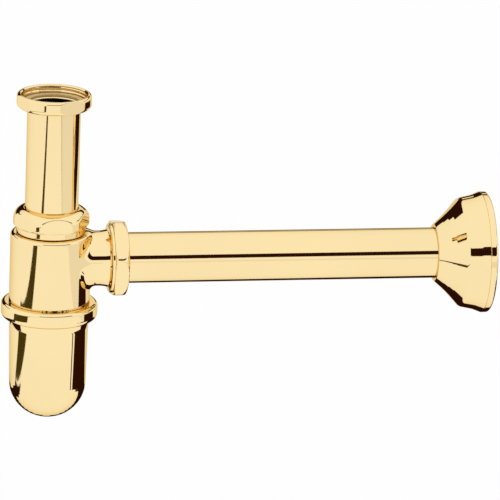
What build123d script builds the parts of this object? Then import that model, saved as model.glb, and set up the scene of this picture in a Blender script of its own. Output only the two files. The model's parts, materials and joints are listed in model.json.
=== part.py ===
from build123d import *
import os

# Bottle trap for a wash basin, in millimetres.
# The origin is on the trap's axis, on the washer that seals against the basin waste.
# +Z is up, and the outlet runs along +X.

# Clearances
tube_gap = 0.2  # tube in the hole of a nut, a slip ring or the rosette, on the radius
bore_gap = 0.3  # tube in a bore of the body, on the radius
thread_gap = 0.1  # screwed pair, on the radius
grip_gap = 0.05  # seal on its tube, on the radius
seat_gap = 0.1  # seal in its conical seat, on the radius
face_gap = 0.05  # between flat faces that turn on each other

# Inlet tube and its flat washer
inlet_od = 32.0
inlet_wall = 1.0
inlet_length = 162.0  # from the underside of the washer to the lower end
flange_r = 18.9
flange_thickness = 1.0
flange_mouth_round = 1.2
washer_thickness = 1.5
washer_margin = 0.3  # washer's hole beyond the tube's bore

# Union nut on the inlet
union_thread_r = 19.47
union_relief_r = 20.0
union_relief_rise = 0.2  # top of the thread relief above the washer
union_r = 22.4
union_sides = 4
union_flats = 42.2
union_rise = 4.8  # rim above the washer
union_web = 1.2
union_chamfer = 0.7
union_rim_round = 1.9
union_heel_round = 2.6
union_turn = 23.0  # first flat from the front, in degrees

# Body with its neck and side spigot
inlet_drop = 81.0  # from the washer down to the body's shoulder
body_r = 24.3
body_wall = 2.0
body_length = 49.0
body_roof = 2.6
shoulder_round = 2.0
shoulder_land = 0.3  # straight wall under the rounding, above the blend of the spigot
neck_thread_r = 18.95
outlet_depth = 17.1  # from the body's shoulder down to the outlet's axis
spigot_waist_r = 16.6
spigot_r = 17.6  # at the root of its thread
spigot_flare = 4.2  # from the root of its thread back to where the waist starts to widen
spigot_flare_round = 20.0
spigot_blend = 3.0
spigot_reach = 34.7  # from the trap's axis to the root of the spigot's thread
spigot_thread_r = 19.6
foot_thread_r = 24.0
foot_thread_length = 6.4

# Compression joints: conical seal, slip ring and domed hexagon nut
mouth_depth = 4.0
mouth_width = 2.0  # of the conical seat, on the radius
seal_depth = 3.4
seal_proud = 1.4
slip_thickness = 0.8
slip_margin = 0.3  # slip ring inside the nut's thread, on the radius
nut_lift = 0.3  # between the nut and the shoulder under it
skirt_round = 0.6
hexagon_sides = 6

top_nut_height = 14.8
top_nut_web = 3.8
top_nut_flats = 42.0
top_nut_corner_r = 22.9
top_nut_dome = 6.2
top_nut_heel = 1.4
top_nut_skirt_r = 20.8
top_nut_skirt = 4.0
top_nut_turn = 2.5

side_nut_height = 10.4
side_nut_web = 3.0
side_nut_flats = 43.6
side_nut_corner_r = 24.4
side_nut_dome = 4.6
side_nut_heel = 1.6
side_nut_skirt_r = 20.8
side_nut_skirt = 1.6
side_nut_turn = 17.0

# Wall tube and its rosette
outlet_od = 30.6
outlet_wall = 1.0
outlet_start = 24.0  # inner end of the tube from the trap's axis
wall_reach = 266.6  # from the trap's axis to the wall
outlet_inset = 1.0  # end of the tube from the wall
rosette_wall = 1.0
rosette_depth = 32.6
rosette_neck_r = 17.2
rosette_neck_round = 0.8
rosette_neck_land = 3.0
rosette_flare_r = 23.5  # where the cone of the bell starts to open wider
rosette_flare_depth = 25.5
rosette_flare_round = 60.0
rosette_shoulder_r = 33.0
rosette_shoulder_depth = 17.2  # shoulder of the bell from the wall
rosette_shoulder_round = 4.0
rosette_skirt_r = 34.7
rosette_rim_r = 36.7
rosette_rim_depth = 9.2
rosette_rim_slope = 2.8
rosette_rim_round = 1.8

# Screw-on cup and its gasket
collar_rise = 5.9  # collar's top above the body's foot
collar_r = 29.1
collar_height = 10.06
collar_top_round = 2.2
collar_heel_round = 3.6
collar_heel = 1.2  # step from the collar's underside to the cup, on the radius
gasket_thickness = 1.75
gasket_bore_r = 21.9
cup_top_r = 24.0
cup_r = 23.2
cup_wall = 1.9
cup_flat_r = 1.0  # small flat at the bottom
cup_depth = 62.2  # from the collar's underside to the bottom of the cup

# Places worked out from the driving sizes
inlet_r = inlet_od / 2
outlet_r = outlet_od / 2
shoulder_z = -inlet_drop
foot_z = shoulder_z - body_length
outlet_z = shoulder_z - outlet_depth
collar_z = foot_z + collar_rise
collar_foot_z = collar_z - collar_height
gasket_z = foot_z - face_gap - gasket_thickness
rosette_front = wall_reach - rosette_depth

# Frames whose local y runs along a turned piece's axis and whose local x is its radius
upright = Plane.XZ
on_shoulder = Plane(origin=(0, 0, shoulder_z), x_dir=(1, 0, 0), z_dir=(0, -1, 0))
along_outlet = Plane(origin=(0, 0, outlet_z), x_dir=(0, 0, 1), z_dir=(0, 1, 0))
on_spigot = Plane(origin=(spigot_reach, 0, outlet_z), x_dir=(0, 0, 1), z_dir=(0, 1, 0))


def turned(frame, *corners):
    """Turn an outline of (radius, height) or (radius, height, rounding) corners about the frame's y axis."""
    points = [corner[:2] for corner in corners]
    roundings = [corner[2] if len(corner) > 2 else 0 for corner in corners]
    outline = make_face(FilletPolyline(*points, radius=roundings, close=True))
    return revolve(frame * outline, Axis(frame.origin, frame.y_dir))


def ring(frame, inner_r, outer_r, low, high):
    """Plain ring about the frame's y axis."""
    return turned(frame, (inner_r, low), (outer_r, low), (outer_r, high), (inner_r, high))


def rod(frame, r, low, high):
    """Plain round bar about the frame's y axis."""
    return ring(frame, 0, r, low, high)


def flat_sided(frame, sides, flats, low, high, turn):
    """Bar with flat sides about the frame's y axis, the first flat turned from the frame's z axis."""
    across = Plane(origin=frame.origin, x_dir=frame.z_dir, z_dir=frame.y_dir)
    corner_to_flat = 180 / sides
    outline = RegularPolygon(flats / 2, sides, major_radius=False, rotation=turn + corner_to_flat)
    return across * extrude(Pos(0, 0, low) * outline, high - low)


def neck_height(height, web):
    """Height of a threaded neck that brings its seal and slip ring up to the web of its nut."""
    return nut_lift + height - web - face_gap - slip_thickness - seal_proud


def mouth(frame, tube_r, neck):
    """Conical seat in the end of a threaded neck, as a solid to cut away."""
    foot = neck - mouth_depth
    return turned(frame, (0, foot), (tube_r + bore_gap, foot), (tube_r + mouth_width, neck), (0, neck))


def compression_nut(frame, tube_r, thread_r, height, web, flats, corner_r, dome, heel, skirt_r, skirt, turn):
    """Domed hexagon nut with a round skirt, bored for its tube and its thread."""
    top = nut_lift + height
    hex_foot = nut_lift + skirt
    skirt_top = hex_foot + heel
    barrel = turned(frame, (0, hex_foot), (corner_r, hex_foot, heel), (corner_r, top, dome), (0, top))
    skirt_edge = (skirt_r, nut_lift, skirt_round)
    collar = turned(frame, (0, nut_lift), skirt_edge, (skirt_r, skirt_top), (0, skirt_top))
    nut = (barrel & flat_sided(frame, hexagon_sides, flats, hex_foot, top, turn)) + collar
    return nut - rod(frame, thread_r, nut_lift, top - web) - rod(frame, tube_r + tube_gap, nut_lift, top)


def cone_seal(frame, tube_r, neck):
    """Rubber ring on a tube, tapered to sit in the conical seat of a neck."""
    taper = (mouth_width - bore_gap) / mouth_depth
    outer_r = tube_r + mouth_width - seat_gap
    inner_r = tube_r + grip_gap
    return turned(
        frame,
        (inner_r, neck - seal_depth),
        (outer_r - taper * seal_depth, neck - seal_depth),
        (outer_r, neck),
        (outer_r, neck + seal_proud),
        (inner_r, neck + seal_proud),
    )


def slip_ring(frame, tube_r, thread_r, neck):
    """Thin ring that lets the nut turn without dragging its seal."""
    low = neck + seal_proud
    return ring(frame, tube_r + tube_gap, thread_r - slip_margin, low, low + slip_thickness)


def make_inlet_tube():
    top = -washer_thickness
    flange_foot = top - flange_thickness
    end = top - inlet_length
    bore_r = inlet_r - inlet_wall
    return turned(
        upright,
        (bore_r, end),
        (inlet_r, end),
        (inlet_r, flange_foot),
        (flange_r, flange_foot),
        (flange_r, top),
        (bore_r, top, flange_mouth_round),
    )


def make_inlet_washer():
    hole_r = inlet_r - inlet_wall + washer_margin
    return ring(upright, hole_r, flange_r, -washer_thickness, 0)


def make_union_nut():
    seat = -washer_thickness - flange_thickness - face_gap
    foot = seat - union_web
    hole_r = inlet_r + tube_gap
    mouth_r = union_thread_r + union_chamfer
    nut = turned(
        upright,
        (hole_r, foot),
        (union_r, foot, union_heel_round),
        (union_r, union_rise, union_rim_round),
        (mouth_r, union_rise),
        (union_thread_r, union_rise - union_chamfer),
        (union_thread_r, union_relief_rise),
        (union_relief_r, union_relief_rise),
        (union_relief_r, seat),
        (hole_r, seat),
    )
    return nut & flat_sided(upright, union_sides, union_flats, foot, union_rise, union_turn)


def spigot_form(start):
    """Waisted spigot, from a distance along the outlet to the root of its thread."""
    return turned(
        along_outlet,
        (0, start),
        (spigot_waist_r, start),
        (spigot_waist_r, spigot_reach - spigot_flare, spigot_flare_round),
        (spigot_r, spigot_reach),
        (0, spigot_reach),
    )


def make_trap_body():
    neck = neck_height(top_nut_height, top_nut_web)
    spigot_neck = neck_height(side_nut_height, side_nut_web)
    bore_r = body_r - body_wall

    # Barrel and spigot, blended where they meet
    tee = rod(upright, body_r, foot_z, shoulder_z + body_r) + spigot_form(0)
    tee = fillet(tee.edges().filter_by(GeomType.BSPLINE), spigot_blend)

    # Rounded shoulder, with the spigot's crown carried on past it
    below_round = shoulder_z - shoulder_round - shoulder_land
    envelope = turned(
        upright,
        (0, foot_z),
        (spigot_reach, foot_z),
        (spigot_reach, below_round),
        (body_r, below_round),
        (body_r, shoulder_z, shoulder_round),
        (0, shoulder_z),
    )
    body = (tee & envelope) + spigot_form(body_r - shoulder_round)

    # Threaded ends for the two nuts and for the cup
    body += rod(on_shoulder, neck_thread_r, 0, neck)
    body += rod(on_spigot, spigot_thread_r, 0, spigot_neck)
    body -= ring(upright, foot_thread_r, body_r + body_wall, foot_z, foot_z + foot_thread_length)

    # Water space, inlet bore and outlet bore
    roof_z = shoulder_z - body_roof
    body -= turned(upright, (0, foot_z), (bore_r, foot_z), (bore_r, roof_z, shoulder_round), (0, roof_z))
    body -= rod(on_shoulder, inlet_r + bore_gap, -body_length, neck)
    body -= rod(along_outlet, outlet_r + bore_gap, 0, spigot_reach + spigot_neck)
    return body - mouth(on_shoulder, inlet_r, neck) - mouth(on_spigot, outlet_r, spigot_neck)


def make_outlet_tube():
    return ring(along_outlet, outlet_r - outlet_wall, outlet_r, outlet_start, wall_reach - outlet_inset)


def make_wall_rosette():
    rim_front = wall_reach - rosette_rim_depth
    flare = wall_reach - rosette_flare_depth
    shoulder = wall_reach - rosette_shoulder_depth
    bell = turned(
        along_outlet,
        (0, rosette_front),
        (rosette_neck_r, rosette_front, rosette_neck_round),
        (rosette_flare_r, flare, rosette_flare_round),
        (rosette_shoulder_r, shoulder, rosette_shoulder_round),
        (rosette_skirt_r, rim_front),
        (rosette_rim_r, rim_front + rosette_rim_slope),
        (rosette_rim_r, wall_reach, rosette_rim_round),
        (0, wall_reach),
    )
    hollow = turned(
        along_outlet,
        (0, rosette_front + rosette_neck_land),
        (rosette_neck_r, rosette_front + rosette_neck_land),
        (rosette_shoulder_r - rosette_wall, shoulder + rosette_wall, rosette_shoulder_round),
        (rosette_skirt_r - rosette_wall, wall_reach),
        (0, wall_reach),
    )
    return bell - hollow - rod(along_outlet, outlet_r + tube_gap, rosette_front, wall_reach)


def make_cup():
    shoulder = gasket_z - face_gap
    low_z = collar_foot_z - cup_depth
    ball_z = low_z + cup_r
    inner_r = cup_r - cup_wall
    outer = turned(
        upright,
        (0, low_z),
        (cup_r, low_z, cup_r - cup_flat_r),
        (cup_r, ball_z + cup_wall),
        (cup_top_r, collar_foot_z),
        (cup_top_r + collar_heel, collar_foot_z),
        (collar_r, collar_foot_z, collar_heel_round),
        (collar_r, collar_z, collar_top_round),
        (0, collar_z),
    )
    inner = turned(
        upright,
        (0, low_z + cup_wall),
        (inner_r, low_z + cup_wall, inner_r - cup_flat_r),
        (inner_r, ball_z + cup_wall),
        (cup_top_r - cup_wall, shoulder),
        (0, shoulder),
    )
    return outer - inner - rod(upright, foot_thread_r + thread_gap, shoulder, collar_z)


def make_cup_gasket():
    return ring(upright, gasket_bore_r, foot_thread_r - seat_gap, gasket_z, gasket_z + gasket_thickness)


top_neck = neck_height(top_nut_height, top_nut_web)
side_neck = neck_height(side_nut_height, side_nut_web)
top_bore_r = neck_thread_r + thread_gap
side_bore_r = spigot_thread_r + thread_gap

parts = {
    "inlet_nut": make_union_nut(),
    "inlet_washer": make_inlet_washer(),
    "inlet_tube": make_inlet_tube(),
    "top_nut": compression_nut(
        on_shoulder, inlet_r, top_bore_r, top_nut_height, top_nut_web, top_nut_flats, top_nut_corner_r,
        top_nut_dome, top_nut_heel, top_nut_skirt_r, top_nut_skirt, top_nut_turn,
    ),
    "top_slip_ring": slip_ring(on_shoulder, inlet_r, top_bore_r, top_neck),
    "top_seal": cone_seal(on_shoulder, inlet_r, top_neck),
    "trap_body": make_trap_body(),
    "side_nut": compression_nut(
        on_spigot, outlet_r, side_bore_r, side_nut_height, side_nut_web, side_nut_flats, side_nut_corner_r,
        side_nut_dome, side_nut_heel, side_nut_skirt_r, side_nut_skirt, side_nut_turn,
    ),
    "side_slip_ring": slip_ring(on_spigot, outlet_r, side_bore_r, side_neck),
    "side_seal": cone_seal(on_spigot, outlet_r, side_neck),
    "outlet_tube": make_outlet_tube(),
    "wall_rosette": make_wall_rosette(),
    "cup": make_cup(),
    "cup_gasket": make_cup_gasket(),
}

os.makedirs("parts", exist_ok=True)
for name, solid in parts.items():
    export_step(solid, f"parts/{name}.step")
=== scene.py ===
import json
import math

import bmesh
import bpy
import numpy as np
from mathutils import Matrix, Vector


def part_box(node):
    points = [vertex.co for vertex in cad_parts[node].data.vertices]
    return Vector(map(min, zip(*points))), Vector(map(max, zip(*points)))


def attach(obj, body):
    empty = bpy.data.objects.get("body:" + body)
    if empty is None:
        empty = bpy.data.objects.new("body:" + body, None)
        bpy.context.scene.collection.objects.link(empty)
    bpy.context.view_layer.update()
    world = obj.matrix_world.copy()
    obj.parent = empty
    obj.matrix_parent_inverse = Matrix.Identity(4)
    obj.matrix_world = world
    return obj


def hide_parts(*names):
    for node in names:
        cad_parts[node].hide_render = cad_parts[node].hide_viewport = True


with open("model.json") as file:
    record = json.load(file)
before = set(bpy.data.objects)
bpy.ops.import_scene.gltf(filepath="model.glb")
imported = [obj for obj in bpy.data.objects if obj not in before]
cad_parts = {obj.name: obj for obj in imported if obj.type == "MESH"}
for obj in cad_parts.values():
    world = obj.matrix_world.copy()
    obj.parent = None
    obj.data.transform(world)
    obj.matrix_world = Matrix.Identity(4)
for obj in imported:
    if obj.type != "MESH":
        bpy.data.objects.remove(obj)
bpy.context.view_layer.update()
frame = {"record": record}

MM = 0.001

# Camera, as the photograph was taken
IMAGE_SIZE = 500
FOCAL_PIXELS = 5811.7
SENSOR_WIDTH = 36.0
CAMERA_DISTANCE = 3.5
CAMERA_AZIMUTH = math.radians(10.135)
CAMERA_ELEVATION = math.radians(17.008)
CAMERA_ROLL = math.radians(2.06)
AIM_POINT = Vector((0.120, 0.0, -0.098))
AIM_PIXEL = (247.84, 255.35)

# Studio, seen from the trap: (to the right, away from the camera) on the table, in metres
TABLE_HEIGHT = -0.361
TABLE_SIZE = 14.0
TABLE_SHARE = 0.93  # of the table that is lit evenly, the rest keeps the shadow
# Olive card that only reflections show: a painted reflection, an olive streak on the polish
LEFT_GAP_REFLECTION = (
    (-0.52, 0.17), (-0.55, -0.10), (-0.57, -0.39), (-0.53, -0.72), (-0.47, -1.30),
    (-0.58, -1.30), (-0.66, -0.72), (-0.71, -0.39), (-0.77, -0.05), (-0.62, 0.06),
)
# Grey card that only reflections show: a painted reflection, a faint line on the polish
RIGHT_JOINT_REFLECTION = ((0.72, -1.10), (0.76, -1.10), (0.742, -0.55), (0.738, -0.55))
# Pale grey card that only reflections show: painted shade, where the table mirrors a little darker than
# white
RIGHT_TABLE_SHADE = ((0.74, -6.0), (6.0, -6.0), (6.0, 0.15), (0.84, 0.15), (0.74, 0.0))
# Dark cards that only reflections show: painted shade, dark streaks on the polish
RIGHT_SLIP = ((0.47, -0.14), (0.64, -0.16), (0.64, -0.122), (0.47, -0.112))
BACK_SHADE = (
    (0.46, -0.075), (0.66, -0.06), (0.70, 0.04), (0.84, 0.04),
    (0.84, 0.48), (-0.30, 0.48), (-0.30, 0.15), (0.40, 0.15),
)
FAR_SHADE = ((0.955, 0.22), (0.77, 0.60), (0.70, 0.95), (0.75, 1.35), (1.40, 0.60))
LEFT_SHADE = ((-0.53, -0.06), (-0.30, 0.02), (-0.20, 0.10), (-0.28, 0.32), (-0.52, 0.17))

# Dark curved cards round the trap that only reflections show, painting dark bands on the polish: start
# and end angle from the camera to the right, lowest and highest elevation
BAND_DISTANCE = 3.0
BAND_STEPS = 48
FRONT_BAND = (-20.0, 60.0, 8.0, 24.0)
BACK_BAND = (90.0, 250.0, 19.5, 26.0)
FAR_BAND = (165.0, 183.5, 1.0, 13.0)
CORNER_BAND = (183.5, 222.0, 5.0, 20.0)

# Tones of the cards, which glow only in reflections and paint shade and reflections on the polish
DARK = (0.024, 0.006, 0.001)
OLIVE = (0.060, 0.045, 0.008)
JOINT_REFLECTION_TONE = (0.30, 0.28, 0.20)
TABLE_SHADE_TONE = (0.86, 0.86, 0.86)

# Fineness of the meshes
SEGMENTS = 240  # round a turned piece
ARC_STEP = math.radians(6.0)
SUPPORT = 0.25 * MM  # rows beside an edge, which keep long walls straight in the reflections
EDGE = 0.25 * MM  # rounding that polishing leaves on an edge
CREASE = math.radians(32.0)
WELD = 1e-3 * MM  # distance under which two points are one
DOUBLINGS = 4  # of a swung sector, up to the full turn

# Screw threads
PITCH = 2.309 * MM
THREAD_ROW = 0.19 * MM
THREAD_DEPTH = 0.75 * MM
THREAD_FADE = 0.35 * PITCH  # length over which a thread runs out
MALE, FEMALE = -1, 1  # cut into the wall, towards the axis or away from it


# Camera and studio

def flat_directions():
    """Level directions to the right of the view and away from the camera."""
    right = Vector((math.cos(CAMERA_AZIMUTH), -math.sin(CAMERA_AZIMUTH), 0))
    away = Vector((math.sin(CAMERA_AZIMUTH), math.cos(CAMERA_AZIMUTH), 0))
    return right, away


def studio_point(right, away, up):
    """Place in the studio, from the trap's axis."""
    level_right, level_away = flat_directions()
    return level_right * right + level_away * away + Vector((0, 0, up))


def make_camera():
    """Long lens in front of the trap, a little to its left and above, and slightly rolled."""
    level_right, level_away = flat_directions()
    forward = level_away * math.cos(CAMERA_ELEVATION) - Vector((0, 0, math.sin(CAMERA_ELEVATION)))
    level_up = level_right.cross(forward)
    right = math.cos(CAMERA_ROLL) * level_right + math.sin(CAMERA_ROLL) * level_up
    up = right.cross(forward)
    across = (AIM_PIXEL[0] - IMAGE_SIZE / 2) / FOCAL_PIXELS
    down = (AIM_PIXEL[1] - IMAGE_SIZE / 2) / FOCAL_PIXELS
    place = AIM_POINT - CAMERA_DISTANCE * (forward + across * right - down * up)
    data = bpy.data.cameras.new("camera")
    data.sensor_fit = "HORIZONTAL"
    data.sensor_width = SENSOR_WIDTH
    data.lens = FOCAL_PIXELS / IMAGE_SIZE * SENSOR_WIDTH
    data.clip_end = 4 * CAMERA_DISTANCE
    camera = bpy.data.objects.new("camera", data)
    turn = Matrix((right, up, -forward)).transposed()
    camera.matrix_world = Matrix.Translation(place) @ turn.to_4x4()
    bpy.context.scene.collection.objects.link(camera)
    bpy.context.scene.camera = camera


def make_world():
    """Even white light from all round."""
    world = bpy.data.worlds.new("studio")
    world.use_nodes = True
    world.node_tree.nodes["Background"].inputs["Color"].default_value = (1, 1, 1, 1)
    bpy.context.scene.world = world


def stage_mesh(name, bm, material):
    """Put a finished mesh on the stage."""
    mesh = bpy.data.meshes.new(name)
    bm.to_mesh(mesh)
    bm.free()
    mesh.materials.append(material)
    thing = bpy.data.objects.new(name, mesh)
    bpy.context.scene.collection.objects.link(thing)
    return thing


def make_table():
    """Wide pale table under the trap, which keeps a faint shadow."""
    material = bpy.data.materials.new("table")
    material.use_nodes = True
    nodes = material.node_tree.nodes
    link = material.node_tree.links.new
    shade = nodes["Principled BSDF"]
    shade.inputs["Base Color"].default_value = (0.9, 0.9, 0.9, 1)
    shade.inputs["Roughness"].default_value = 0.8
    glow = nodes.new("ShaderNodeEmission")
    path = nodes.new("ShaderNodeLightPath")
    seen = path.outputs["Is Camera Ray"]
    for ray in ("Is Glossy Ray", "Is Transmission Ray"):
        either = nodes.new("ShaderNodeMath")
        either.operation = "MAXIMUM"
        link(seen, either.inputs[0])
        link(path.outputs[ray], either.inputs[1])
        seen = either.outputs[0]
    share = nodes.new("ShaderNodeMath")
    share.operation = "MULTIPLY"
    share.inputs[1].default_value = TABLE_SHARE
    link(seen, share.inputs[0])
    mix = nodes.new("ShaderNodeMixShader")
    link(share.outputs[0], mix.inputs[0])
    link(shade.outputs[0], mix.inputs[1])
    link(glow.outputs[0], mix.inputs[2])
    link(mix.outputs[0], nodes["Material Output"].inputs["Surface"])
    bm = bmesh.new()
    bmesh.ops.create_grid(bm, x_segments=1, y_segments=1, size=TABLE_SIZE / 2)
    bmesh.ops.translate(bm, verts=bm.verts, vec=(0, 0, TABLE_HEIGHT))
    stage_mesh("table", bm, material)


def card_material(name, tone):
    """Even tone of a card, whatever the light."""
    material = bpy.data.materials.new(name)
    material.use_nodes = True
    nodes = material.node_tree.nodes
    glow = nodes.new("ShaderNodeEmission")
    glow.inputs["Color"].default_value = (*tone, 1)
    material.node_tree.links.new(glow.outputs[0], nodes["Material Output"].inputs["Surface"])
    return material


def make_card(name, bm, tone):
    """Glowing card that only reflections show: it paints a dark or pale reflection on the polish, lights
    nothing and throws no shadow.
    """
    card = stage_mesh(name, bm, card_material(name, tone))
    card.visible_camera = False
    card.visible_diffuse = False
    card.visible_shadow = False


def flat_card(name, corners, lift, tone):
    """Flat card lying on the table, just above it."""
    bm = bmesh.new()
    bm.faces.new([bm.verts.new(studio_point(*corner, TABLE_HEIGHT + lift)) for corner in corners])
    make_card(name, bm, tone)


def wall_band(name, band, tone):
    """Curved card round the trap where walls would stand, between two angles and two elevations; only
    reflections show it.
    """
    start, end, low, high = [math.radians(angle) for angle in band]
    right = BAND_DISTANCE * math.sin(start)
    away = -BAND_DISTANCE * math.cos(start)
    bm = bmesh.new()
    heights = [AIM_POINT.z + BAND_DISTANCE * math.tan(angle) for angle in (low, high)]
    ends = [bm.verts.new(studio_point(right, away, height)) for height in heights]
    edge = bm.edges.new(ends)
    bmesh.ops.spin(
        bm, geom=[*ends, edge], cent=(0, 0, 0), axis=(0, 0, 1), angle=end - start, steps=BAND_STEPS,
    )
    make_card(name, bm, tone)


def make_cards():
    """Painted reflections of a dark room round the table: cards that only the polish shows."""
    flat_card("left_gap_reflection", LEFT_GAP_REFLECTION, 3 * MM, OLIVE)
    flat_card("right_table_shade", RIGHT_TABLE_SHADE, 1 * MM, TABLE_SHADE_TONE)
    flat_card("right_joint_reflection", RIGHT_JOINT_REFLECTION, 2 * MM, JOINT_REFLECTION_TONE)
    flat_card("right_slip", RIGHT_SLIP, 2 * MM, DARK)
    flat_card("back_shade", BACK_SHADE, 2 * MM, DARK)
    flat_card("far_shade", FAR_SHADE, 2 * MM, DARK)
    flat_card("left_shade", LEFT_SHADE, 2 * MM, DARK)
    wall_band("front_band", FRONT_BAND, DARK)
    wall_band("back_band", BACK_BAND, DARK)
    wall_band("far_band", FAR_BAND, DARK)
    wall_band("corner_band", CORNER_BAND, DARK)


# Materials

def start_material(name):
    """New material, with what its pattern and surface are linked to."""
    material = bpy.data.materials.new(name)
    material.use_nodes = True
    nodes = material.node_tree.nodes
    place = nodes.new("ShaderNodeTexCoord").outputs["Object"]
    return material, nodes, material.node_tree.links.new, nodes["Principled BSDF"], place


def grain(nodes, link, place, scale, detail):
    """Soft random pattern fixed to the piece."""
    noise = nodes.new("ShaderNodeTexNoise")
    noise.inputs["Scale"].default_value = scale
    noise.inputs["Detail"].default_value = detail
    link(place, noise.inputs["Vector"])
    return noise.outputs["Fac"]


def spread(nodes, link, value, low, high):
    """Stretch a pattern's middle range to two values."""
    ranged = nodes.new("ShaderNodeMapRange")
    ranged.inputs["From Min"].default_value = 0.3
    ranged.inputs["From Max"].default_value = 0.7
    ranged.inputs["To Min"].default_value = low
    ranged.inputs["To Max"].default_value = high
    link(value, ranged.inputs["Value"])
    return ranged.outputs[0]


def two_tones(nodes, link, value, first, second):
    """Drift between two close colours."""
    mix = nodes.new("ShaderNodeMix")
    mix.data_type = "RGBA"
    mix.inputs["A"].default_value = (*first, 1)
    mix.inputs["B"].default_value = (*second, 1)
    link(value, mix.inputs["Factor"])
    return mix.outputs["Result"]


def bump(nodes, link, height, shade, distance):
    """Raise a pattern a little on the surface."""
    relief = nodes.new("ShaderNodeBump")
    relief.inputs["Strength"].default_value = 1.0
    relief.inputs["Distance"].default_value = distance
    link(height, relief.inputs["Height"])
    link(relief.outputs["Normal"], shade.inputs["Normal"])


def polished_gold():
    """Mirror-polished pale gold plate, with the faint waves that hand buffing leaves."""
    material, nodes, link, shade, place = start_material("polished_gold")
    drift = spread(nodes, link, grain(nodes, link, place, scale=18.0, detail=2.0), low=0.0, high=1.0)
    tone = two_tones(nodes, link, drift, first=(0.985, 0.785, 0.425), second=(0.955, 0.760, 0.415))
    link(tone, shade.inputs["Base Color"])
    shade.inputs["Metallic"].default_value = 1.0
    shade.inputs["Specular Tint"].default_value = (0.80, 0.66, 0.44, 1)
    haze = spread(nodes, link, grain(nodes, link, place, scale=140.0, detail=4.0), low=0.015, high=0.045)
    link(haze, shade.inputs["Roughness"])
    bump(nodes, link, grain(nodes, link, place, scale=110.0, detail=1.0), shade, distance=0.004 * MM)
    return material


def seal_rubber():
    """Black moulded rubber with a dull, fine-grained skin."""
    material, nodes, link, shade, place = start_material("seal_rubber")
    fine = grain(nodes, link, place, scale=900.0, detail=3.0)
    tone = two_tones(nodes, link, fine, first=(0.026, 0.025, 0.024), second=(0.046, 0.044, 0.042))
    link(tone, shade.inputs["Base Color"])
    link(spread(nodes, link, fine, low=0.55, high=0.75), shade.inputs["Roughness"])
    bump(nodes, link, fine, shade, distance=0.02 * MM)
    return material


def gum_rubber():
    """Amber natural gum rubber, smooth and a little cloudy."""
    material, nodes, link, shade, place = start_material("gum_rubber")
    clouds = grain(nodes, link, place, scale=120.0, detail=2.0)
    tone = two_tones(nodes, link, clouds, first=(0.70, 0.49, 0.21), second=(0.60, 0.41, 0.17))
    link(tone, shade.inputs["Base Color"])
    link(spread(nodes, link, clouds, low=0.32, high=0.46), shade.inputs["Roughness"])
    bump(nodes, link, grain(nodes, link, place, scale=800.0, detail=1.0), shade, distance=0.01 * MM)
    return material


def slip_nylon():
    """Natural nylon, pale and waxy, with a faint grain."""
    material, nodes, link, shade, place = start_material("slip_nylon")
    clouds = grain(nodes, link, place, scale=160.0, detail=2.0)
    tone = two_tones(nodes, link, clouds, first=(0.86, 0.85, 0.81), second=(0.80, 0.78, 0.72))
    link(tone, shade.inputs["Base Color"])
    link(spread(nodes, link, clouds, low=0.30, high=0.42), shade.inputs["Roughness"])
    shade.inputs["Subsurface Weight"].default_value = 0.15
    shade.inputs["Subsurface Radius"].default_value = (2 * MM, 2 * MM, 2 * MM)
    bump(nodes, link, grain(nodes, link, place, scale=1200.0, detail=1.0), shade, distance=0.01 * MM)
    return material


# Turned pieces

def round_corner(bm, point, rounding):
    """Round off one corner of an outline."""
    sides = [edge.other_vert(point).co - point.co for edge in point.link_edges]
    half = sides[0].angle(sides[1]) / 2
    steps = max(2, math.ceil((math.pi - 2 * half) / ARC_STEP))
    bmesh.ops.bevel(
        bm, geom=[point], offset=rounding / math.tan(half), offset_type="OFFSET", affect="VERTICES",
        segments=steps, profile=0.5, material=-1,
    )


def add_rows(bm, thread_r):
    """Divide a threaded wall finely, and put a supporting row near both ends of every other long wall."""
    for edge in bm.edges[:]:
        length = edge.calc_length()
        if thread_r and all(abs(v.co.x - thread_r) < WELD for v in edge.verts):
            bmesh.ops.subdivide_edges(bm, edges=[edge], cuts=math.ceil(length / THREAD_ROW))
        elif length > 4 * SUPPORT:
            start, end = edge.verts
            _, row = bmesh.utils.edge_split(edge, start, SUPPORT / length)
            rest = next(side for side in row.link_edges if end in side.verts)
            bmesh.utils.edge_split(rest, end, SUPPORT / (length - SUPPORT))


def swing_round(bm):
    """Spin an outline through a narrow sector, and double that until the turn is full."""
    sectors = 2 ** DOUBLINGS
    swung = math.tau / sectors
    outline = bm.verts[:] + bm.edges[:]
    bmesh.ops.spin(
        bm, geom=outline, cent=(0, 0, 0), axis=(0, 0, 1), angle=swung, steps=SEGMENTS // sectors,
    )
    for _ in range(DOUBLINGS):
        copied = bmesh.ops.duplicate(bm, geom=bm.verts[:] + bm.edges[:] + bm.faces[:])["geom"]
        points = [part for part in copied if isinstance(part, bmesh.types.BMVert)]
        bmesh.ops.rotate(bm, verts=points, cent=(0, 0, 0), matrix=Matrix.Rotation(swung, 3, "Z"))
        swung *= 2


def turned(*corners, thread_r=None, thread_side=None, thread_depth=None):
    """Turn an outline of (radius, height) or (radius, height, rounding) corners about the Z axis."""
    bm = bmesh.new()
    points = [bm.verts.new((corner[0], 0, corner[1])) for corner in corners]
    for here, after in zip(points, points[1:] + points[:1]):
        if here.co.x > 0 or after.co.x > 0:
            bm.edges.new((here, after))
    for point, corner in zip(points, corners):
        if len(corner) > 2:
            round_corner(bm, point, corner[2])
    add_rows(bm, thread_r)
    swing_round(bm)
    bmesh.ops.remove_doubles(bm, verts=bm.verts, dist=WELD)
    bmesh.ops.recalc_face_normals(bm, faces=bm.faces)
    if thread_r:
        cut_thread(bm, thread_r, thread_side, thread_depth or THREAD_DEPTH)
    return bm


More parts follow.
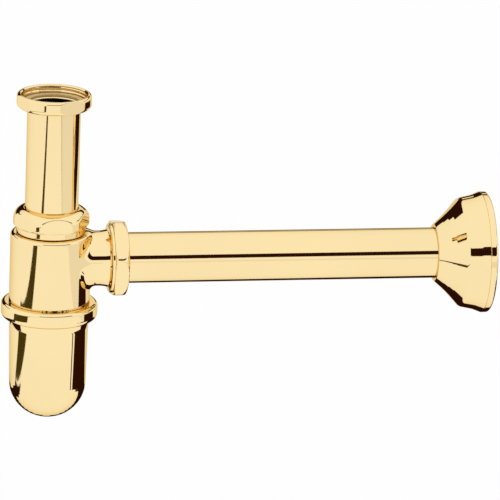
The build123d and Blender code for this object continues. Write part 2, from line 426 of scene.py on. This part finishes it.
def cut_thread(bm, thread_r, side, full_depth):
    """Cut a screw thread into the round wall of that radius, fading out towards its two ends."""
    wall = [v for v in bm.verts if abs(v.co.xy.length - thread_r) < WELD]
    low = min(v.co.z for v in wall)
    high = max(v.co.z for v in wall)
    for v in wall:
        turn = math.atan2(v.co.y, v.co.x) / math.tau
        groove = 0.5 - 0.5 * math.cos(math.tau * (v.co.z / PITCH - turn))
        from_end = min(v.co.z - low, high - v.co.z) / THREAD_FADE
        depth = full_depth * groove * min(1.0, from_end)
        v.co.xy *= (thread_r + side * depth) / thread_r


def press_flats(bm, sides, across, turn, soft):
    """Press flats into a round wall, with softly rounded edges."""
    step = math.tau / sides
    for v in bm.verts:
        radius = v.co.xy.length
        from_flat = math.remainder(math.atan2(v.co.y, v.co.x) - turn, step)
        limit = across / 2 / math.cos(from_flat)
        near = max(soft - abs(radius - limit), 0) / soft
        pressed = min(radius, limit) - near * near * soft / 4
        if pressed < radius:
            v.co.xy *= pressed / radius


def to_outlet(bm):
    """Lay a piece that was turned about Z along the outlet's axis."""
    along_x = Matrix(((0, 0, 1), (1, 0, 0), (0, 1, 0))).to_4x4()
    bmesh.ops.transform(bm, matrix=Matrix.Translation((0, 0, OUTLET_Z)) @ along_x, verts=bm.verts)
    return bm


def body_of(node):
    """Body that a node belongs to."""
    for body, members in frame["record"]["behaviour"]["bodies"].items():
        if node in members:
            return body


def place_piece(name, mesh, node, slot):
    """Finish a mesh as the piece that stands for a node."""
    mesh.materials.clear()
    mesh.materials.append(MATERIALS[slot])
    piece = bpy.data.objects.new(name, mesh)
    bpy.context.scene.collection.objects.link(piece)
    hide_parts(node)
    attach(piece, body_of(node))


def finish_piece(name, bm, node, slot="polished_gold"):
    """Shade a modelled piece smoothly, apart from its creases, and put it in its place."""
    for face in bm.faces:
        face.smooth = True
    mesh = bpy.data.meshes.new(name)
    bm.to_mesh(mesh)
    bm.free()
    mesh.set_sharp_from_angle(angle=CREASE)
    place_piece(name, mesh, node, slot)


# Sizes read from the solids

def radius_of(node, axis):
    """Half of a solid's width along an axis."""
    low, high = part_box(node)
    return (high[axis] - low[axis]) / 2


TUBE_LOW, TUBE_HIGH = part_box("inlet_tube")
OUTLET_LOW, OUTLET_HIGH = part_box("outlet_tube")
OUTLET_Z = (OUTLET_LOW.z + OUTLET_HIGH.z) / 2
OUTLET_R = radius_of("outlet_tube", 1)
TUBE_R = 16.0 * MM
TUBE_WALL = 1.0 * MM
FLANGE_R = radius_of("inlet_tube", 0)
TUBE_GAP = 0.2 * MM
BORE_GAP = 0.3 * MM
SEAL_GAP = 0.05 * MM
HOLES = {
    "inlet_washer": TUBE_R - TUBE_WALL + 0.3 * MM,
    "top_slip_ring": TUBE_R + TUBE_GAP,
    "side_slip_ring": OUTLET_R + TUBE_GAP,
    "cup_gasket": 21.9 * MM,
}


def make_inlet_tube():
    """Dip tube with its turned-out flange."""
    bore_r = TUBE_R - TUBE_WALL
    flange = 1.0 * MM
    mouth_round = 1.2 * MM
    bm = turned(
        (bore_r, TUBE_LOW.z, EDGE),
        (TUBE_R, TUBE_LOW.z, EDGE),
        (TUBE_R, TUBE_HIGH.z - flange),
        (FLANGE_R, TUBE_HIGH.z - flange, EDGE),
        (FLANGE_R, TUBE_HIGH.z, EDGE),
        (bore_r, TUBE_HIGH.z, mouth_round),
    )
    finish_piece("inlet_tube_turned", bm, "inlet_tube")


def make_ring(name, node, slot, rounding, outlet=False):
    """Flat ring with softened edges, as large as its solid."""
    low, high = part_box(node)
    along = 0 if outlet else 2
    hole_r = HOLES[node]
    outer_r = radius_of(node, 1)
    bm = turned(
        (hole_r, low[along], rounding),
        (outer_r, low[along], rounding),
        (outer_r, high[along], rounding),
        (hole_r, high[along], rounding),
    )
    finish_piece(name, to_outlet(bm) if outlet else bm, node, slot)


def make_cone_seal(name, node, tube_r, outlet=False):
    """Rubber ring with a straight head and a tapered foot."""
    low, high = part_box(node)
    along = 0 if outlet else 2
    head = 1.4 * MM
    taper = 1.7 / 4.0
    inner_r = tube_r + SEAL_GAP
    outer_r = radius_of(node, 1)
    foot_r = outer_r - taper * (high[along] - low[along] - head)
    rounding = 0.2 * MM
    head_end = high[along] - 0.02 * MM  # a hair clear of the slip ring, past which it turns
    bm = turned(
        (inner_r, low[along], rounding),
        (foot_r, low[along], rounding),
        (outer_r, high[along] - head, rounding),
        (outer_r, head_end, rounding),
        (inner_r, head_end, rounding),
    )
    finish_piece(name, to_outlet(bm) if outlet else bm, node, "seal_rubber")


def make_union_nut():
    """Round union nut with four wrench flats and its internal thread."""
    low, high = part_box("inlet_nut")
    outer_r = 22.4 * MM
    heel_round = 2.6 * MM
    rim_round = 1.9 * MM
    hole_r = TUBE_R + TUBE_GAP
    thread_r = 19.47 * MM
    relief_r = 20.0 * MM
    chamfer = 0.7 * MM
    relief_z = 0.2 * MM
    seat_z = low.z + 1.2 * MM
    bm = turned(
        (hole_r, low.z, EDGE),
        (outer_r, low.z, heel_round),
        (outer_r, high.z, rim_round),
        (thread_r + chamfer, high.z, EDGE),
        (thread_r, high.z - chamfer),
        (thread_r, relief_z),
        (relief_r, relief_z),
        (relief_r, seat_z),
        (hole_r, seat_z, EDGE),
        thread_r=thread_r, thread_side=FEMALE, thread_depth=0.35 * MM,
    )
    press_flats(bm, sides=4, across=42.2 * MM, turn=math.radians(23.0 - 90.0), soft=0.35 * MM)
    finish_piece("union_nut_turned", bm, "inlet_nut")


def compression_nut(low, top, tube_r, thread_r, web, corner_r, dome, heel, skirt, flats, turn):
    """Domed hexagon nut with a round skirt and its internal thread."""
    hole_r = tube_r + TUBE_GAP
    skirt_r = 20.8 * MM
    skirt_round = 0.6 * MM
    root_rise = 0.15 * MM  # of the skirt's root over the hexagon's underside
    root_round = 0.5 * MM
    bm = turned(
        (thread_r, low, EDGE),
        (skirt_r, low, skirt_round),
        (skirt_r, low + skirt + root_rise, root_round),
        (corner_r, low + skirt, heel),
        (corner_r, top, dome),
        (hole_r, top, EDGE),
        (hole_r, top - web),
        (thread_r, top - web),
        thread_r=thread_r, thread_side=FEMALE,
    )
    press_flats(bm, sides=6, across=flats, turn=turn, soft=0.3 * MM)
    return bm


def make_top_nut():
    """Compression nut on the body's neck."""
    low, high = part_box("top_nut")
    bm = compression_nut(
        low.z, high.z, TUBE_R, thread_r=19.05 * MM, web=3.8 * MM,
        corner_r=22.9 * MM, dome=6.2 * MM, heel=1.4 * MM, skirt=4.0 * MM,
        flats=42.0 * MM, turn=math.radians(2.5 - 90.0),
    )
    finish_piece("top_nut_turned", bm, "top_nut")


def make_side_nut():
    """Compression nut on the spigot."""
    low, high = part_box("side_nut")
    bm = compression_nut(
        low.x, high.x, OUTLET_R, thread_r=19.7 * MM, web=3.0 * MM,
        corner_r=24.4 * MM, dome=4.6 * MM, heel=1.6 * MM, skirt=1.6 * MM,
        flats=43.6 * MM, turn=math.radians(17.0),
    )
    finish_piece("side_nut_turned", to_outlet(bm), "side_nut")


def make_wall_tube():
    """Straight wall tube."""
    bore_r = OUTLET_R - TUBE_WALL
    bm = turned(
        (bore_r, OUTLET_LOW.x, EDGE),
        (OUTLET_R, OUTLET_LOW.x, EDGE),
        (OUTLET_R, OUTLET_HIGH.x, EDGE),
        (bore_r, OUTLET_HIGH.x, EDGE),
    )
    finish_piece("wall_tube_turned", to_outlet(bm), "outlet_tube")


def make_rosette():
    """Bell-shaped wall rosette with its stepped rim."""
    low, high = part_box("wall_rosette")
    wall_x = high.x
    rim_r = radius_of("wall_rosette", 1)
    hole_r = OUTLET_R + TUBE_GAP
    neck_r = 17.2 * MM
    neck_round = 0.8 * MM
    sole_x = low.x + 3.0 * MM  # back of the thick front edge
    throat_r = 23.5 * MM
    throat_x = wall_x - 25.5 * MM
    throat_round = 60.0 * MM
    shoulder_r = 33.0 * MM
    shoulder_round = 4.0 * MM
    skirt_r = 34.7 * MM
    skirt_round = 6.0 * MM
    rim_round = 1.5 * MM
    wall = 1.0 * MM
    groove = 0.3 * MM  # fine turned line between the flared skirt and the rim
    lip_x = wall_x - 4.2 * MM
    shoulder_x = wall_x - 17.2 * MM
    rim_x = wall_x - 9.2 * MM
    bm = turned(
        (hole_r, low.x, EDGE),
        (neck_r, low.x, neck_round),
        (throat_r, throat_x, throat_round),
        (shoulder_r, shoulder_x, shoulder_round),
        (skirt_r, rim_x, skirt_round),
        (rim_r - groove / 2, lip_x - groove, EDGE / 4),
        (rim_r - 1.5 * groove, lip_x - groove / 2, EDGE / 8),
        (rim_r, lip_x, EDGE),
        (rim_r, wall_x, rim_round),
        (skirt_r - wall, wall_x, EDGE),
        (shoulder_r - wall, shoulder_x + wall, shoulder_round),
        (neck_r, sole_x),
        (hole_r, sole_x, EDGE),
    )
    finish_piece("wall_rosette_turned", to_outlet(bm), "wall_rosette")


def make_cup():
    """Screw-on cup with its collar, threaded inside."""
    low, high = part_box("cup")
    collar_r = radius_of("cup", 0)
    cup_r = 23.2 * MM
    top_r = 24.0 * MM
    wall = 1.9 * MM
    flat_r = 1.0 * MM
    inner_r = cup_r - wall
    collar_foot = high.z - 10.06 * MM
    shoulder = high.z - 7.75 * MM
    foot_r = cup_r - 0.5 * MM  # where the tapered wall would meet the level of the cup's bottom
    flare_foot_r = top_r - 0.15 * MM
    flare_r = top_r + 0.7 * MM
    flare_height = 3.6 * MM
    flare_round = 12.0 * MM
    root_round = 0.3 * MM
    heel_round = 3.6 * MM
    rim_round = 2.2 * MM
    thread_r = 24.1 * MM
    bm = turned(
        (0, low.z),
        (foot_r, low.z, cup_r - flat_r),
        (flare_foot_r, collar_foot - flare_height, flare_round),
        (flare_r, collar_foot, root_round),
        (collar_r, collar_foot, heel_round),
        (collar_r, high.z, rim_round),
        (thread_r, high.z, EDGE),
        (thread_r, shoulder),
        (top_r - wall, shoulder, EDGE),
        (foot_r - wall, low.z + wall, inner_r - flat_r),
        (0, low.z + wall),
        thread_r=thread_r, thread_side=FEMALE,
    )
    finish_piece("cup_turned", bm, "cup")


# Cast body: barrel and spigot run into each other

SHOULDER_Z = -81.0 * MM
BARREL_R = radius_of("trap_body", 1)
BARREL_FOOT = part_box("trap_body")[0].z
THREAD_TOP = BARREL_FOOT + 5.95 * MM  # top of the thread for the cup, just above the collar
SHOULDER_ROUND = 2.0 * MM
SPIGOT_END = 34.7 * MM
SPIGOT_WAIST_R = 16.6 * MM
SPIGOT_R = 17.6 * MM
SPIGOT_FLARE = (28.4 * MM, 34.7 * MM)
BLEND = 3.8 * MM
BODY_VOXEL = 0.55 * MM
DRAW_STEPS = 6  # towards the exact form
LEAST_SLOPE = 0.25  # squared, so that no step runs away
ON_FORM = 2e-3 * MM  # nearness that counts as on the exact form
FACING = 0.8  # least agreement of a face with the exact form


def barrel_distance(p):
    """Distance of points from the barrel with its rounded shoulder, negative inside."""
    across = np.hypot(p[:, 0], p[:, 1]) - (BARREL_R - SHOULDER_ROUND)
    above = p[:, 2] - (SHOULDER_Z - SHOULDER_ROUND)
    outside = np.hypot(np.maximum(across, 0), np.maximum(above, 0))
    inside = np.minimum(np.maximum(across, above), 0)
    return np.maximum(outside + inside - SHOULDER_ROUND, THREAD_TOP - p[:, 2])


def spigot_distance(p):
    """Distance of points from the waisted spigot, negative inside."""
    start, end = SPIGOT_FLARE
    share = np.clip((p[:, 0] - start) / (end - start), 0, 1)
    radius = SPIGOT_WAIST_R + (SPIGOT_R - SPIGOT_WAIST_R) * share ** 2
    across = np.hypot(p[:, 1], p[:, 2] - OUTLET_Z) - radius
    return np.maximum(np.maximum(across, p[:, 0] - SPIGOT_END), -p[:, 0])


def casting_distance(p):
    """Distance of points from barrel and spigot, run together softly where they meet."""
    barrel = barrel_distance(p)
    spigot = spigot_distance(p)
    near = np.maximum(BLEND - np.abs(barrel - spigot), 0) / BLEND
    return np.minimum(barrel, spigot) - near ** 2 * BLEND / 4


def casting_slope(p):
    """Direction in which the distance from the casting grows."""
    step = 0.01 * MM
    sides = [casting_distance(p + axis) - casting_distance(p - axis) for axis in np.eye(3) * step]
    return np.stack(sides, 1) / (2 * step)


def mesh_points(mesh):
    """Places of a mesh's points."""
    points = np.empty(len(mesh.vertices) * 3, np.float32)
    mesh.vertices.foreach_get("co", points)
    return points.reshape(-1, 3).astype(float)


def temporary(name, bm):
    """Object that is only there while the casting is made."""
    mesh = bpy.data.meshes.new(name)
    bm.to_mesh(mesh)
    bm.free()
    thing = bpy.data.objects.new(name, mesh)
    bpy.context.scene.collection.objects.link(thing)
    return thing


def applied(thing):
    """Mesh of an object with its modifiers applied."""
    bpy.context.view_layer.update()
    return bpy.data.meshes.new_from_object(thing.evaluated_get(bpy.context.evaluated_depsgraph_get()))


def joined(*parts):
    """One mesh that holds several closed shells."""
    whole = bmesh.new()
    for part in parts:
        mesh = bpy.data.meshes.new("part")
        part.to_mesh(mesh)
        part.free()
        whole.from_mesh(mesh)
        bpy.data.meshes.remove(mesh)
    return whole


def cast_form():
    """Outside of the casting: barrel and spigot in one skin, drawn on to its exact form."""
    barrel = turned(
        (0, THREAD_TOP),
        (BARREL_R, THREAD_TOP),
        (BARREL_R, SHOULDER_Z, SHOULDER_ROUND),
        (0, SHOULDER_Z),
    )
    spigot = to_outlet(turned((0, 0), (SPIGOT_WAIST_R, 0), (SPIGOT_R, SPIGOT_END), (0, SPIGOT_END)))
    rough = temporary("rough_casting", joined(barrel, spigot))
    remesh = rough.modifiers.new("skin", "REMESH")
    remesh.mode = "VOXEL"
    remesh.voxel_size = BODY_VOXEL
    form = applied(rough)
    bpy.data.objects.remove(rough)
    points = mesh_points(form)
    for _ in range(DRAW_STEPS):
        slope = casting_slope(points)
        steepness = np.maximum((slope ** 2).sum(1), LEAST_SLOPE)
        points -= casting_distance(points)[:, None] * slope / steepness[:, None]
    form.vertices.foreach_set("co", points.astype(np.float32).ravel())
    form.update()
    return form


def make_body():
    """Cast body with its threaded ends and its water ways."""
    neck_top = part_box("trap_body")[1].z
    spigot_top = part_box("trap_body")[1].x
    neck_r = 18.95 * MM
    spigot_thread_r = 19.6 * MM
    foot_r = 24.0 * MM
    bore_r = BARREL_R - 2.0 * MM
    roof_z = SHOULDER_Z - 2.6 * MM
    sunk = 1.0 * MM  # of each threaded end into the casting
    over = 2.0 * MM  # of each bore past its end
    mouth_depth = 4.0 * MM
    mouth_width = 2.0 * MM
    well_r = TUBE_R + BORE_GAP
    well_mouth_r = TUBE_R + mouth_width
    outlet_r = OUTLET_R + BORE_GAP
    outlet_mouth_r = OUTLET_R + mouth_width
    casting = bpy.data.objects.new("casting", cast_form())
    bpy.context.scene.collection.objects.link(casting)
    neck = turned(
        (0, SHOULDER_Z - sunk),
        (neck_r - sunk, SHOULDER_Z - sunk),
        (neck_r, SHOULDER_Z),
        (neck_r, neck_top, 2 * EDGE),
        (0, neck_top),
        thread_r=neck_r, thread_side=MALE,
    )
    spigot = to_outlet(turned(
        (0, SPIGOT_END - sunk),
        (SPIGOT_R - sunk, SPIGOT_END - sunk),
        (spigot_thread_r, SPIGOT_END),
        (spigot_thread_r, spigot_top, 2 * EDGE),
        (0, spigot_top),
        thread_r=spigot_thread_r, thread_side=MALE,
    ))
    foot = turned(
        (0, BARREL_FOOT),
        (foot_r, BARREL_FOOT, 2 * EDGE),
        (foot_r, THREAD_TOP),
        (foot_r - sunk, THREAD_TOP + sunk),
        (0, THREAD_TOP + sunk),
        thread_r=foot_r, thread_side=MALE,
    )
    well = turned(
        (0, BARREL_FOOT - over),
        (bore_r, BARREL_FOOT - over),
        (bore_r, roof_z, SHOULDER_ROUND),
        (well_r, roof_z),
        (well_r, neck_top - mouth_depth),
        (well_mouth_r, neck_top),
        (well_mouth_r, neck_top + over),
        (0, neck_top + over),
    )
    outlet = to_outlet(turned(
        (0, 0),
        (outlet_r, 0),
        (outlet_r, spigot_top - mouth_depth),
        (outlet_mouth_r, spigot_top),
        (outlet_mouth_r, spigot_top + over),
        (0, spigot_top + over),
    ))
    tools = []
    for name, bm, operation in (
        ("neck", neck, "UNION"), ("spigot_neck", spigot, "UNION"), ("foot", foot, "UNION"),
        ("well", well, "DIFFERENCE"), ("outlet_bore", outlet, "DIFFERENCE"),
    ):
        tool = temporary(name, bm)
        step = casting.modifiers.new(name, "BOOLEAN")
        step.operation = operation
        step.object = tool
        step.solver = "MANIFOLD"
        tools.append(tool)
    mesh = applied(casting)
    mesh.name = "trap_body_cast"
    for thing in [casting, *tools]:
        bpy.data.objects.remove(thing)
    polish_casting(mesh)
    place_piece("trap_body_cast", mesh, "trap_body", "polished_gold")


def polish_casting(mesh):
    """Shade the casting's outside by its exact form, and the rest smoothly between creases."""
    mesh.shade_smooth()
    mesh.set_sharp_from_angle(angle=CREASE)
    points = mesh_points(mesh)
    on_form = np.abs(casting_distance(points)) < ON_FORM
    slope = casting_slope(points)
    slope /= np.maximum(np.linalg.norm(slope, axis=1), 1e-9)[:, None]
    normals = np.zeros((len(mesh.loops), 3), np.float32)
    for face in mesh.polygons:
        corners = list(face.vertices)
        if on_form[corners].all() and (slope[corners] @ np.array(face.normal)).min() > FACING:
            normals[face.loop_start:face.loop_start + face.loop_total] = slope[corners]
    mesh.normals_split_custom_set(normals)


# Scene

bpy.context.scene.view_settings.view_transform = "Standard"
MATERIALS = {
    "polished_gold": polished_gold(),
    "seal_rubber": seal_rubber(),
    "gum_rubber": gum_rubber(),
    "slip_nylon": slip_nylon(),
}
make_camera()
make_world()
make_table()
make_cards()

make_union_nut()
make_ring("inlet_washer_ring", "inlet_washer", "gum_rubber", rounding=0.2 * MM)
make_inlet_tube()
make_top_nut()
make_ring("top_slip_ring_flat", "top_slip_ring", "slip_nylon", rounding=0.1 * MM)
make_cone_seal("top_seal_ring", "top_seal", TUBE_R)
make_body()
make_side_nut()
make_ring("side_slip_ring_flat", "side_slip_ring", "slip_nylon", rounding=0.1 * MM, outlet=True)
make_cone_seal("side_seal_ring", "side_seal", OUTLET_R, outlet=True)
make_wall_tube()
make_rosette()
make_cup()
make_ring("cup_gasket_ring", "cup_gasket", "seal_rubber", rounding=0.2 * MM)
